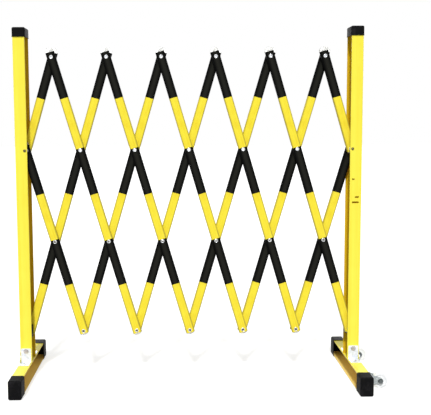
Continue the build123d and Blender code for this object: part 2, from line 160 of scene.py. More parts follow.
class Wire:
    """A socket among a material's nodes, on which Python's operators write shader maths."""

    def __init__(self, tree, socket=None):
        self.tree = tree
        self.socket = socket

    def node(self, kind, settings, sockets, output=0):
        """Add a node of a kind, with its settings, the values or wires of its sockets, and one output."""
        made = self.tree.nodes.new("ShaderNode" + kind)
        for name, value in settings.items():
            setattr(made, name, value)
        for name, value in sockets.items():
            feed(made.inputs[name], value)
        return Wire(self.tree, made.outputs[output])

    def maths(self, operation, *values):
        """A Math node on this wire and others."""
        return self.node("Math", {"operation": operation}, dict(enumerate(values)))

    def __add__(self, other):
        return self.maths("ADD", self, other)

    def __sub__(self, other):
        return self.maths("SUBTRACT", self, other)

    def __mul__(self, other):
        return self.maths("MULTIPLY", self, other)

    def __truediv__(self, other):
        return self.maths("DIVIDE", self, other)

    def __lt__(self, other):
        return self.maths("LESS_THAN", self, other)

    def __abs__(self):
        return self.maths("ABSOLUTE", self)

    def __rsub__(self, other):
        return self.maths("SUBTRACT", other, self)

    __radd__ = __add__
    __rmul__ = __mul__


def feed(socket, value):
    """Give a socket a wire or a plain value."""
    if isinstance(value, Wire):
        value.tree.links.new(socket, value.socket)
    else:
        socket.default_value = value


def colour(red, green, blue):
    """A colour as a screen shows it, from 0 to 255, as the shader's linear value."""
    shades = [(value / 255 + 0.055) / 1.055 for value in (red, green, blue)]
    return (*[shade**2.4 for shade in shades], 1)


def blend(amount, low, high):
    """The colour low where amount is 0 and high where it is 1."""
    return amount.node("Mix", {"data_type": "RGBA"}, {0: amount, 6: low, 7: high}, 2)


def spread(wire, low, high, out_low=0.0, out_high=1.0):
    """Map a wire's range from low..high to out_low..out_high, and hold it there."""
    sockets = {"Value": wire, "From Min": low, "From Max": high, "To Min": out_low, "To Max": out_high}
    return wire.node("MapRange", {"clamp": True}, sockets, "Result")


def mapped(place, location=(0, 0, 0), turn=(0, 0, 0), scale=(1, 1, 1)):
    """Coordinates seen from a pattern's own place and turn, then stretched."""
    sockets = {"Vector": place, "Location": location, "Rotation": turn}
    local = place.node("Mapping", {"vector_type": "TEXTURE"}, sockets, "Vector")
    return local.node("Mapping", {"vector_type": "POINT"}, {"Vector": local, "Scale": scale}, "Vector")


def axes(vector):
    """The three numbers of a vector."""
    split = vector.node("SeparateXYZ", {}, {"Vector": vector}, "X")
    outputs = split.socket.node.outputs
    return [Wire(vector.tree, outputs[name]) for name in ("X", "Y", "Z")]


def noise(place, scale=1.0, detail=3.0, roughness=0.5):
    """Cloudy noise from 0 to 1."""
    sockets = {"Vector": place, "Scale": scale, "Detail": detail, "Roughness": roughness}
    return place.node("TexNoise", {}, sockets, "Fac")


def cells(place, scale, output="Distance"):
    """Voronoi cells."""
    return place.node("TexVoronoi", {}, {"Vector": place, "Scale": scale}, output)


def relief(height, strength, depth=GRAIN_RELIEF):
    """A bump normal."""
    sockets = {"Strength": strength, "Distance": depth, "Height": height}
    return height.node("Bump", {}, sockets, "Normal")


def new_finish(name, **constants):
    """A material, its shader and the object's own coordinates, with the shader's fixed values."""
    material = bpy.data.materials.new(name)
    material.use_nodes = True
    shader = material.node_tree.nodes["Principled BSDF"]
    for socket, value in constants.items():
        shader.inputs[socket.replace("_", " ")].default_value = value
    place = Wire(material.node_tree).node("TexCoord", {}, {}, "Object")
    return material, shader, place


# Finishes

BAR_YELLOW = colour(252, 237, 72)
BAR_YELLOW_DEEP = colour(238, 212, 50)
# Painted shade of the bars' yellow along their edges
BAR_YELLOW_EDGE_SHADE = colour(182, 166, 62)
BAND_BLACK = colour(2, 2, 2)
# Paler black, for the painted sheen down a band's middle and for its scuffs
BAND_BLACK_SHEEN_AND_WEAR = colour(33, 33, 29)
POST_YELLOW = colour(253, 242, 84)
POST_YELLOW_DEEP = colour(246, 229, 68)
# Painted shade: darker, more orange colours for the insides of the posts' and feet's channels
POST_INSIDE_SHADE = colour(222, 184, 30)
FOOT_INSIDE_SHADE = colour(248, 220, 132)
MOULDING_BLACK = colour(19, 19, 20)
MOULDING_RUBBED = colour(38, 37, 39)
# Bright bores above, and painted shade for the bores of the lower rivets
BORE_BRIGHT = colour(228, 231, 235)
BORE_SHADE_DARK = colour(58, 50, 28)
BORE_SHADE_PALE = colour(90, 80, 46)
FINE_STREAKS = (900, 900, 14)  # fine across a tube, long along it
LONG_STREAKS = (75, 75, 1.3)
SCUFFS = (400, 400, 30)


def bar_bands(up, pivots):
    """1 on a bar's black bands and 0 on its yellow ones, at heights up from its top pivot."""
    last = (len(pivots) - 1) * SEGMENT - BAND_LEAD - BAND_END_MARGIN
    cut = FIRST_BAND_CUT if pivots[0][1] == 0 else 0
    along = spread(0 - up, BAND_END_MARGIN, last, BAND_END_MARGIN, last)
    lead = BAND_LEAD + cut * (along < BAND)
    segments = (along + lead) / SEGMENT
    return segments.maths("FRACT", segments) < BAND / SEGMENT


def bar_finish(name, first, lean, layer):
    """A bar's laminate: black and yellow bands over streaked glass fibre, with painted shade along the
    edges of the yellow and a painted sheen down the middle of the black.
    """
    material, shader, place = new_finish(name, Specular_IOR_Level=0.04)
    pivots = bar_pivots(first, lean)
    top = pivot_place(*pivots[0])
    local = mapped(place, (top.x, layer, top.z), (0, -lean * LEAN, 0))
    across, _, up = axes(local)
    ragged = (noise(local, scale=900.0) - 0.5) * BAND_WANDER
    black = bar_bands(up + ragged, pivots)
    grain = noise(mapped(local, scale=FINE_STREAKS), detail=4.0, roughness=0.6)
    cloud = noise(local, scale=18.0, detail=4.0, roughness=0.6)
    scuffs = spread(noise(mapped(local, scale=SCUFFS), detail=6.0, roughness=0.75), 0.64, 0.8)
    half = BAR_WIDTH / 2
    # Painted shade: the yellow darkens towards the bar's edges, where its rounded corners turn away from
    # the light.
    edge = spread(abs(across) + grain * EDGE_WANDER, half - EDGE_SHADE_REACH, half - EDGE_SHADE_REACH / 3)
    yellow = blend(spread(grain * 0.6 + cloud * 0.4, 0.38, 0.66), BAR_YELLOW, BAR_YELLOW_DEEP)
    edge_shaded = blend(edge * 0.85, yellow, BAR_YELLOW_EDGE_SHADE)
    # Painted sheen: the black bands are paler down their middle and blackest at their edges; the scuffs on
    # top are wear.
    painted_sheen = 1 - spread(abs(across), BAR_WIDTH / 10, BAR_WIDTH * 0.38)
    dark = blend(painted_sheen * (0.5 + grain) + scuffs * 0.3, BAND_BLACK, BAND_BLACK_SHEEN_AND_WEAR)
    feed(shader.inputs["Base Color"], blend(black, edge_shaded, dark))
    feed(shader.inputs["Roughness"], 0.32 + cloud * 0.16 + black * 0.06)
    feed(shader.inputs["Normal"], relief(black * 0.35 + grain * 0.5, 0.35, BAND_RELIEF))
    return material


def channel_finish(name, side, turn, inside_shade):
    """A post's or foot's laminate, with a darker, more orange colour painted inside the channel as painted
    shade, its fibres along z after the turn about x.
    """
    material, shader, place = new_finish(f"{name}_finish", Specular_IOR_Level=0.15)
    low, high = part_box(name)
    size, centre = high - low, (low + high) / 2
    local = mapped(place, centre, (turn, 0, 0))
    out, between, _ = axes(local)
    height = size.z if turn else size.y
    off_web = out * side < size.x / 2 - CHANNEL_WALL / 2
    inside = off_web * (abs(between) < height / 2 - CHANNEL_WALL / 2)
    grain = noise(mapped(local, scale=FINE_STREAKS), detail=4.0, roughness=0.6)
    streak = noise(mapped(local, scale=LONG_STREAKS), detail=2.0)
    cloud = noise(local, scale=9.0, detail=5.0, roughness=0.6)
    shade = spread(grain * 0.35 + streak * 0.4 + cloud * 0.25, 0.38, 0.64)
    yellow = blend(shade, POST_YELLOW, POST_YELLOW_DEEP)
    # Painted shade: the channel's inside gets a darker, more orange colour than its outside.
    feed(shader.inputs["Base Color"], blend(inside, yellow, inside_shade))
    feed(shader.inputs["Roughness"], 0.3 + cloud * 0.2)
    feed(shader.inputs["Normal"], relief(grain, 0.3))
    return material


def moulding_finish(name):
    """Black moulded plastic with a fine grain and paler worn patches."""
    material, shader, place = new_finish(name, Specular_IOR_Level=0.03)
    grain = cells(place, scale=900.0)
    cloud = noise(place, scale=45.0, detail=5.0, roughness=0.65)
    feed(shader.inputs["Base Color"], blend(spread(cloud, 0.5, 0.75), MOULDING_BLACK, MOULDING_RUBBED))
    feed(shader.inputs["Roughness"], 0.4 + cloud * 0.2)
    feed(shader.inputs["Normal"], relief(grain, 0.2))
    return material


def zinc_finish(name, crystal, dull, dark, pale):
    """Galvanised steel: crystals of one size, each with its own shade and sheen between dark and pale."""
    material, shader, place = new_finish(name, Metallic=1.0)
    shade = axes(cells(place, 1.0 / crystal, "Color"))[0]
    cloud = noise(place, scale=120.0, detail=5.0, roughness=0.6)
    feed(shader.inputs["Base Color"], blend(spread(shade * 0.5 + cloud * 0.5, 0.25, 0.8), dark, pale))
    feed(shader.inputs["Roughness"], dull + shade * 0.12 + cloud * 0.14)
    feed(shader.inputs["Normal"], relief(cloud, 0.15))
    return material


def bore_finish(name):
    """The inside of the hollow rivets: bright in the upper rows and darkened with painted shade in the
    lower ones.
    """
    material, shader, place = new_finish(name, Metallic=1.0)
    # Painted shade: the bores darken by height, fully in the lowest two rows.
    unshaded = spread(axes(place)[2], pivot_place(0, 2).z, pivot_place(0, 1).z)
    cloud = noise(place, scale=120.0, detail=5.0, roughness=0.6)
    feed(shader.inputs["Base Color"], blend(unshaded, blend(cloud, BORE_SHADE_DARK, BORE_SHADE_PALE), BORE_BRIGHT))
    feed(shader.inputs["Roughness"], 0.3 + cloud * 0.3)
    return material


def plastic_finish(name, clear, tint, shade):
    """Natural plastic, clear by a share, with faint flow marks."""
    material, shader, place = new_finish(name, Transmission_Weight=clear, Specular_IOR_Level=0.3)
    cloud = noise(place, scale=60.0, detail=4.0, roughness=0.6)
    feed(shader.inputs["Base Color"], blend(spread(cloud, 0.35, 0.7), tint, shade))
    feed(shader.inputs["Roughness"], 0.34 + cloud * 0.16)
    feed(shader.inputs["Normal"], relief(noise(place, scale=700.0, detail=2.0), 0.12))
    return material


black_moulding = moulding_finish("black_moulding_finish")
bore_steel = bore_finish("bore_steel_finish")
rivet_zinc = zinc_finish(
    "rivet_zinc_finish", crystal=0.002, dull=0.2, dark=colour(205, 209, 214), pale=colour(236, 238, 240)
)
bracket_zinc = zinc_finish(
    "bracket_zinc_finish", crystal=0.006, dull=0.3, dark=colour(212, 218, 227), pale=colour(243, 245, 249)
)
bolt_zinc = zinc_finish(
    "bolt_zinc_finish", crystal=0.002, dull=0.25, dark=colour(166, 160, 160), pale=colour(206, 201, 200)
)
castor_zinc = zinc_finish(
    "castor_zinc_finish", crystal=0.005, dull=0.35, dark=colour(140, 146, 147), pale=colour(190, 196, 197)
)
axle_zinc = zinc_finish(
    "axle_zinc_finish", crystal=0.003, dull=0.3, dark=colour(74, 79, 80), pale=colour(118, 124, 125)
)
button_steel = zinc_finish(
    "button_steel_finish", crystal=0.002, dull=0.3, dark=colour(84, 80, 50), pale=colour(128, 122, 84)
)
plug_plastic = plastic_finish(
    "plug_plastic_finish", clear=0.7, tint=colour(252, 252, 250), shade=colour(240, 241, 238)
)
wheel_nylon = plastic_finish(
    "wheel_nylon_finish", clear=0.0, tint=colour(249, 250, 251), shade=colour(236, 239, 241)
)


# Modelling by hand

SAME_PLACE = 1e-6  # points nearer than this are one
ROUND_STEPS = 40  # sides of a turned piece
SHANK_STEPS = 20
WHEEL_STEPS = 64


def choose(piece, kind, test):
    """In edit mode, select only the vertices, edges or faces for which the test holds."""
    bpy.ops.mesh.select_mode(type=kind)
    bpy.ops.mesh.select_all(action="DESELECT")
    mesh = bmesh.from_edit_mesh(piece.data)
    parts = {"VERT": mesh.verts, "EDGE": mesh.edges, "FACE": mesh.faces}[kind]
    for part in parts:
        part.select_set(bool(test(part)))
    mesh.select_flush_mode()
    bmesh.update_edit_mesh(piece.data)


def middle(part):
    """The middle of an edge or a face."""
    return sum((corner.co for corner in part.verts), Vector()) / len(part.verts)


def start(name, material):
    """Name the primitive that was just added, give it its finish and open it for shaping."""
    piece = bpy.context.object
    piece.name = name
    piece.data.name = name
    piece.data.materials.append(material)
    bpy.ops.object.mode_set(mode="EDIT")
    bpy.ops.mesh.select_mode(type="VERT")
    return piece


def trace(name, material, points):
    """A new piece open for shaping: a line drawn from point to point."""
    bpy.ops.mesh.primitive_plane_add(size=1)
    piece = start(name, material)
    bpy.ops.mesh.merge(type="CENTER")
    bpy.ops.transform.translate(value=points[0])
    for here, there in zip(points, points[1:]):
        step = [end - begin for begin, end in zip(here, there)]
        bpy.ops.mesh.extrude_vertices_move(TRANSFORM_OT_translate={"value": step})
    return piece


def close(piece, smooth=35):
    """Merge doubles, point the faces outwards, leave edit mode and shade the round parts smooth."""
    bpy.ops.mesh.select_all(action="SELECT")
    bpy.ops.mesh.remove_doubles(threshold=SAME_PLACE)
    bpy.ops.mesh.normals_make_consistent(inside=False)
    bpy.ops.object.mode_set(mode="OBJECT")
    bpy.ops.object.transform_apply(location=True, rotation=True, scale=True)
    bpy.ops.object.shade_smooth_by_angle(angle=math.radians(smooth))
    piece.select_set(False)
    return piece


def turned(name, material, outline, steps=ROUND_STEPS):
    """A shape turned about the y axis from (radius, place along y) points, closed or from axis to axis."""
    closed = outline[0][0] > 0
    points = outline + outline[:1] if closed else outline
    piece = trace(name, material, [(radius, place, 0) for radius, place in points])
    bpy.ops.mesh.select_all(action="SELECT")
    bpy.ops.mesh.spin(steps=steps, angle=math.tau, center=(0, 0, 0), axis=(0, 1, 0))
    return close(piece)


def arc(middle_radius, middle_place, reach, rise, start_angle, end_angle, count):
    """Points of an elliptic arc in an outline, with angles in degrees from the outward radius."""
    points = []
    for number in range(count + 1):
        angle = math.radians(start_angle + (end_angle - start_angle) * number / count)
        points.append((middle_radius + reach * math.cos(angle), middle_place + rise * math.sin(angle)))
    return points


def recolour(piece, material, test):
    """Give a second finish to the faces for which the test holds."""
    piece.data.materials.append(material)
    bpy.context.view_layer.objects.active = piece
    bpy.ops.object.mode_set(mode="EDIT")
    choose(piece, "FACE", test)
    piece.active_material_index = len(piece.data.materials) - 1
    bpy.ops.object.material_slot_assign()
    bpy.ops.object.mode_set(mode="OBJECT")


def join(name, parts):
    """Join parts into one piece whose place is in its mesh."""
    bpy.ops.object.select_all(action="DESELECT")
    for part in parts:
        part.select_set(True)
    bpy.context.view_layer.objects.active = parts[0]
    if len(parts) > 1:
        bpy.ops.object.join()
    bpy.ops.object.transform_apply(location=True, rotation=True, scale=True)
    piece = bpy.context.object
    piece.name = name
    piece.data.name = name
    piece.select_set(False)
    return piece


def set_out(model, places):
    """Copies of a model at places given as matrices, each with its own mesh."""
    made = []
    for place in places:
        one = model.copy()
        one.data = model.data.copy()
        bpy.context.collection.objects.link(one)
        one.matrix_world = place
        made.append(one)
    return made


def discard(*models):
    """Remove models that only served for copies."""
    for model in models:
        bpy.data.objects.remove(model)


def facing(place, direction):
    """A matrix that puts a model's origin at a place, with its z axis along a direction."""
    return Matrix.Translation(place) @ Vector(direction).to_track_quat("Z", "Y").to_matrix().to_4x4()


def dress(piece, body, slot, *replaced):
    """Put a finished piece on its body, in place of the nodes that it stands for; the slot is not used."""
    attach(piece, body)
    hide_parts(*replaced)


# Rivets of the lattice

def make_eyelet():
    """A hollow rivet with rolled heads, and the washer between the layers."""
    front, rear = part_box("front_bar_1")[0].y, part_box("rear_bar_1")[1].y + FACE_CLEARANCE
    roll_middle = (RIVET_BORE + RIVET_HEAD) / 2
    roll = (RIVET_HEAD - RIVET_BORE) / 2
    outline = (
        arc(roll_middle, front, roll, RIVET_HEAD_HEIGHT, 180, 360, 10)
        + [(RIVET_BARREL, front), (RIVET_BARREL, rear)]
        + arc(roll_middle, rear, roll, RIVET_HEAD_HEIGHT, 0, 180, 10)
    )
    barrel = turned("eyelet_barrel", rivet_zinc, outline)
    recolour(barrel, bore_steel, lambda face: math.hypot(middle(face).x, middle(face).z) < RIVET_BORE)
    half_gap = LAYER_GAP / 2 - FACE_CLEARANCE
    chamfer = half_gap / 3
    washer = turned(
        "eyelet_washer",
        rivet_zinc,
        [
            (RIVET_BARREL + FACE_CLEARANCE, -half_gap),
            (WASHER_RADIUS - chamfer, -half_gap),
            (WASHER_RADIUS, -half_gap + chamfer),
            (WASHER_RADIUS, half_gap - chamfer),
            (WASHER_RADIUS - chamfer, half_gap),
            (RIVET_BARREL + FACE_CLEARANCE, half_gap),
        ],
    )
    return join("eyelet_model", [barrel, washer])


def make_eyelets():
    """The rivets of each front bar."""
    model = make_eyelet()
    for number, first in FRONT_BARS:
        places = [
            Matrix.Translation(pivot_place(step, row))
            for step, row in bar_pivots(first, 1)
            if not (abs(step) == END_STEP and row in (1, ROW_COUNT - 1))
        ]
        piece = join(f"eyelets_{number}", set_out(model, places))
        dress(piece, f"front_link_{number}", "zinc_steel", f"rivets_{number}")
    discard(model)


# Bolts and screws

def cut_out(piece, cutter):
    """Cut a shape out of a piece and remove the shape."""
    cut = piece.modifiers.new("recess", "BOOLEAN")
    cut.operation = "DIFFERENCE"
    cut.object = cutter
    bpy.ops.object.select_all(action="DESELECT")
    bpy.context.view_layer.objects.active = piece
    bpy.ops.object.modifier_apply(modifier=cut.name)
    discard(cutter)


def make_hexagon(name, height):
    """A hexagon of a bolt head or nut from z = 0 up, with its top corners cut back."""
    bpy.ops.mesh.primitive_cylinder_add(
        vertices=6, radius=BOLT_HEAD, depth=height, location=(0, 0, height / 2)
    )
    piece = start(name, bolt_zinc)
    choose(piece, "VERT", lambda corner: corner.co.z > 0)
    bpy.ops.mesh.bevel(offset=BOLT_HEAD / 6, affect="VERTICES")
    choose(piece, "EDGE", lambda edge: middle(edge).z > height / 2 - BOLT_HEAD / 50)
    bpy.ops.mesh.bevel(offset=BOLT_HEAD / 20, segments=2, affect="EDGES")
    return close(piece, 20)


def make_washer(name):
    """A flat washer standing on z = 0."""
    chamfer = BOLT_WASHER / 4
    ring = turned(
        name,
        bolt_zinc,
        [
            (BOLT_RADIUS, 0),
            (WASHER_RADIUS - chamfer, 0),
            (WASHER_RADIUS, chamfer),
            (WASHER_RADIUS, BOLT_WASHER - chamfer),
            (WASHER_RADIUS - chamfer, BOLT_WASHER),
            (BOLT_RADIUS, BOLT_WASHER),
        ],
    )
    ring.matrix_world = Matrix.Rotation(math.pi / 2, 4, "X")
    return join(name, [ring])


def make_button():
    """A round bolt head with a hexagon socket, up from z = 0."""
    dome = arc(0, 0, BUTTON_RADIUS, -BUTTON_HEIGHT, 0, 90, 8)
    button = turned("bolt_button", button_steel, [(0, 0)] + dome)
    button.matrix_world = Matrix.Rotation(-math.pi / 2, 4, "X")
    join("bolt_button", [button])
    bpy.ops.mesh.primitive_cylinder_add(
        vertices=6, radius=BUTTON_SOCKET, depth=BUTTON_HEIGHT, location=(0, 0, BUTTON_HEIGHT)
    )
    cut_out(button, bpy.context.object)
    return button


def make_bolt(grip, round_head=False):
    """A bolt, head up from z = 0, with its washers, nut and threaded tail below the grip."""
    if round_head:
        heads = [make_button()]
    else:
        head = make_hexagon("bolt_head", BOLT_HEAD_HEIGHT - BOLT_WASHER)
        head.matrix_world = Matrix.Translation((0, 0, BOLT_WASHER))
        heads = [head, make_washer("bolt_washer")]
    nut = make_hexagon("bolt_nut", NUT_HEIGHT - BOLT_WASHER)
    nut.matrix_world = Matrix.Translation((0, 0, -grip - BOLT_WASHER)) @ Matrix.Rotation(math.pi, 4, "X")
    nut_washer = make_washer("nut_washer")
    nut_washer.matrix_world = Matrix.Translation((0, 0, -grip - BOLT_WASHER))
    end = grip + NUT_HEIGHT + BOLT_TAIL
    root = BOLT_RADIUS - THREAD_PITCH / 2
    outline = [(0, 0), (BOLT_RADIUS, 0), (BOLT_RADIUS, grip)]
    for number in range(int((end - grip) / THREAD_PITCH) - 1):
        outline += [
            (root, grip + (number + 0.5) * THREAD_PITCH),
            (BOLT_RADIUS, grip + (number + 1) * THREAD_PITCH),
        ]
    outline += [(root, end), (0, end)]
    shank = turned("bolt_shank", bolt_zinc, outline, SHANK_STEPS)
    shank.matrix_world = Matrix.Rotation(-math.pi / 2, 4, "X")
    return join("bolt_model", [nut, nut_washer, shank] + heads)


def make_screw():
    """A round-headed screw with a cross recess, head up from z = 0."""
    shank = [
        (0, SCREW_LENGTH),
        (SCREW_RADIUS * 0.6, SCREW_LENGTH),
        (SCREW_RADIUS, SCREW_LENGTH - SCREW_RADIUS),
        (SCREW_RADIUS, 0),
    ]
    dome = arc(0, 0, SCREW_HEAD, -SCREW_HEAD_HEIGHT, 0, 90, 8)
    screw = turned("screw_body", bolt_zinc, shank + dome)
    screw.matrix_world = Matrix.Rotation(-math.pi / 2, 4, "X")
    join("screw_model", [screw])
    for angle in (0, math.pi / 2):
        bpy.ops.mesh.primitive_cube_add(size=1, rotation=(0, 0, angle), location=(0, 0, SCREW_HEAD_HEIGHT))
        cutter = bpy.context.object
        cutter.scale = (SCREW_HEAD * 1.1, SCREW_HEAD / 5, SCREW_HEAD_HEIGHT * 1.1)
        cut_out(screw, cutter)
    return screw


def make_stand_bolts():
    """The bolts and screws of the left and right stands."""
    screw = make_screw()
    for name, side, pivot in (("left", -1, LEFT_PIVOT), ("right", 1, RIGHT_PIVOT)):
        low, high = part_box(f"{name}_post")
        foot_low, foot_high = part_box(f"{name}_foot")
        depth = high.y - low.y
        across = (low.x + high.x) / 2
        strap_face = across + side * ((high.x - low.x) / 2 + BRACKET_THICKNESS)
        web_grip = BRACKET_THICKNESS + CHANNEL_WALL
        post_seat = (across, low.y - BRACKET_THICKNESS, foot_high.z + POST_BOLT_RISE)
        web_seat = (strap_face, 0, foot_high.z + WEB_BOLT_RISE)
        foot_seat = (strap_face, 0, (foot_low.z + foot_high.z) / 2)
        bolts = [
            (make_bolt(depth, round_head=True), (pivot.x, low.y, pivot.z), (0, -1, 0)),
            (make_bolt(depth + 2 * BRACKET_THICKNESS), post_seat, (0, -1, 0)),
            (make_bolt(web_grip), web_seat, (side, 0, 0)),
            (make_bolt(web_grip), foot_seat, (side, 0, 0)),
        ]
        parts = []
        for bolt, seat, direction in bolts:
            bolt.matrix_world = facing(seat, direction)
            parts.append(bolt)
        reach = depth / 2 + SCREW_REACH
        top = foot_high.z + BRACKET_THICKNESS
        parts += set_out(screw, [facing((across, end * reach, top), (0, 0, 1)) for end in (-1, 1)])
        piece = join(f"{name}_bolt_set", parts)
        dress(piece, f"{name}_stand", "zinc_steel", f"{name}_bolts")
    discard(screw)


def make_castor_bolts():
    """The castors' axle bolts and the screws of their plates."""
    screw = make_screw()
    wheel_low, wheel_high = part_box("front_wheel")
    foot_low, foot_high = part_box("right_foot")
    grip = wheel_high.y - wheel_low.y + 2 * (WHEEL_SIDE_CLEARANCE + FORK_THICKNESS)
    axle = make_bolt(grip)
    parts = []
    for joint in WHEEL_JOINTS:
        hub = Vector(joints[joint]["pos_m"])
        parts += set_out(axle, [facing(hub - Vector((0, grip / 2, 0)), (0, -1, 0))])
        for way in (-1, 1):
            seat = (
                foot_high.x + FORK_THICKNESS,
                hub.y + way * FORK_SCREW_SPACING / 2,
                (foot_low.z + foot_high.z) / 2,
            )
            parts += set_out(screw, [facing(seat, (1, 0, 0))])
    piece = join("castor_bolt_set", parts)
    piece.data.materials[0] = axle_zinc  # darker than the stands' bolts
    dress(piece, "right_stand", "zinc_steel", "caster_bolts")
    discard(screw, axle)


# Brackets

def thicken(piece, direction, thickness):
    """Give a flat outline, open for shaping, its thickness and soft edges."""
    bpy.ops.mesh.select_all(action="SELECT")
    bpy.ops.mesh.extrude_region_move(
        TRANSFORM_OT_translate={"value": [thickness * part for part in direction]}
    )
    towards = Vector(direction)

    def on_a_face(edge):
        return abs((edge.verts[0].co - edge.verts[1].co).dot(towards)) < thickness / 2

    choose(piece, "EDGE", on_a_face)
    bpy.ops.mesh.bevel(offset=thickness / 8, segments=2, affect="EDGES")


def make_plate(name, material, height, width, thickness, place, normal):
    """A flat plate with round corners, standing up, its face towards a level normal."""
    bpy.ops.mesh.primitive_plane_add(size=1)
    piece = start(name, material)
    bpy.ops.transform.resize(value=(height, width, 1))
    bpy.ops.mesh.bevel(offset=BRACKET_CORNER, segments=6, affect="VERTICES")
    thicken(piece, (0, 0, 1), thickness)
    close(piece)
    piece.matrix_world = facing(place, normal)
    return piece


def make_angle(name, place, way):
    """A bent angle against the post and the foot, where way is the side of the post it is on."""
    left = -BRACKET_WIDTH / 2
    piece = trace(
        name,
        bracket_zinc,
        [(left, 0, BRACKET_HEIGHT), (left, 0, 0), (left, way * BRACKET_REACH, 0)],
    )
    bpy.ops.mesh.select_all(action="SELECT")
    bpy.ops.mesh.extrude_region_move(TRANSFORM_OT_translate={"value": (BRACKET_WIDTH, 0, 0)})

    def at_bend(edge):
        return all(abs(corner.co.y) + abs(corner.co.z) < BRACKET_CORNER / 2 for corner in edge.verts)

    choose(piece, "EDGE", at_bend)
    bpy.ops.mesh.bevel(offset=BRACKET_THICKNESS * 1.5, segments=6, affect="EDGES")
    choose(
        piece,
        "VERT",
        lambda corner: corner.co.z > BRACKET_HEIGHT * 0.99 or abs(corner.co.y) > BRACKET_REACH * 0.99,
    )
    bpy.ops.mesh.bevel(offset=BRACKET_CORNER, segments=6, affect="VERTICES")
    bpy.ops.mesh.select_all(action="SELECT")
    bpy.ops.mesh.normals_make_consistent(inside=False)
    mesh = bmesh.from_edit_mesh(piece.data)
    leg = max(mesh.faces, key=lambda face: middle(face).z)
    if leg.normal.y * way < 0:
        bpy.ops.mesh.flip_normals()
    bpy.ops.object.mode_set(mode="OBJECT")
    wall = piece.modifiers.new("wall", "SOLIDIFY")
    wall.thickness = BRACKET_THICKNESS
    wall.offset = 1
    wall.use_even_offset = True
    bpy.ops.object.modifier_apply(modifier=wall.name)
    edge = piece.modifiers.new("edge", "BEVEL")
    edge.width = BRACKET_THICKNESS / 8
    edge.segments = 2
    edge.limit_method = "ANGLE"
    edge.angle_limit = math.radians(60)
    bpy.ops.object.modifier_apply(modifier=edge.name)
    bpy.ops.object.shade_smooth_by_angle(angle=math.radians(35))
    piece.matrix_world = Matrix.Translation(place)
    return piece


def make_foot_brackets():
    """The angles in front of and behind each post, and the strap over its web and the foot's side."""
    for name, side in (("left", -1), ("right", 1)):
        low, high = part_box(f"{name}_post")
        strap_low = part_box(f"{name}_foot_brackets")[0].z
        foot_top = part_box(f"{name}_foot")[1].z
        across = (low.x + high.x) / 2
        outer = high.x if side > 0 else low.x
        parts = [
            make_angle(f"{name}_angle", (across, way * high.y, foot_top), way) for way in (-1, 1)
        ]
        parts.append(
            make_plate(
                f"{name}_strap",
                bracket_zinc,
                STRAP_HEIGHT,
                STRAP_WIDTH,
                BRACKET_THICKNESS,
                (outer, 0, strap_low + STRAP_HEIGHT / 2),
                (side, 0, 0),
            )
        )
        piece = join(f"{name}_angles", parts)
        dress(piece, f"{name}_stand", "zinc_steel", f"{name}_foot_brackets")


# Mouldings

def make_box_cap(name, low, high, opening):
    """A drafted, round-edged box, open on one side, with a slightly wider lip around its mouth."""
    size = high - low
    centre = (low + high) / 2
    along = abs(size.dot(opening))
    lip = along * CAP_LIP_SHARE
    bpy.ops.mesh.primitive_cube_add(size=1, location=centre)
    piece = start(name, black_moulding)
    bpy.ops.transform.resize(value=size)
    bpy.ops.mesh.bisect(plane_co=centre + opening * (along / 2 - lip), plane_no=opening)

    def depth(corner):
        return corner.co.dot(opening)

    def lengthways(edge):
        return abs((edge.verts[0].co - edge.verts[1].co).normalized().dot(opening)) > 0.9

    draft = [1 if abs(way) > 0.5 else 1 - 2 * CAP_DRAFT / length for way, length in zip(opening, size)]
    choose(piece, "VERT", lambda corner: depth(corner) < along / 2 - lip / 2)
    bpy.ops.transform.resize(value=draft)
    choose(piece, "EDGE", lengthways)
    bpy.ops.mesh.bevel(offset=CAP_SIDE_ROUND, segments=7, affect="EDGES")
    choose(piece, "EDGE", lambda edge: max(map(depth, edge.verts)) < CAP_DRAFT / 2 - along / 2)
    bpy.ops.mesh.bevel(offset=CAP_END_ROUND, segments=6, affect="EDGES")
    choose(piece, "FACE", lambda face: min(map(depth, face.verts)) > along / 2 - CAP_DRAFT / 2)
    bpy.ops.mesh.inset(thickness=CAP_WALL)
    bpy.ops.mesh.extrude_region_move(TRANSFORM_OT_translate={"value": -opening * (along - CAP_WALL)})
    return close(piece, 40)


def make_caps():
    """The caps of the posts and the boots of the feet."""
    for name in ("left", "right"):
        low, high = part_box(f"{name}_post_cap")
        cap = make_box_cap(f"{name}_top_cap", low, high, Vector((0, 0, -1)))
        dress(cap, f"{name}_stand", "black_moulding", f"{name}_post_cap")
        low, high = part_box(f"{name}_foot_caps")
        front_high = Vector((high.x, low.y + BOOT_LENGTH, high.z))
        rear_low = Vector((low.x, high.y - BOOT_LENGTH, low.z))
        boots = [
            make_box_cap(f"{name}_boot", low, front_high, Vector((0, 1, 0))),
            make_box_cap(f"{name}_boot", rear_low, high, Vector((0, -1, 0))),
        ]
        piece = join(f"{name}_boots", boots)
        dress(piece, f"{name}_stand", "black_moulding", f"{name}_foot_caps")


# Castors

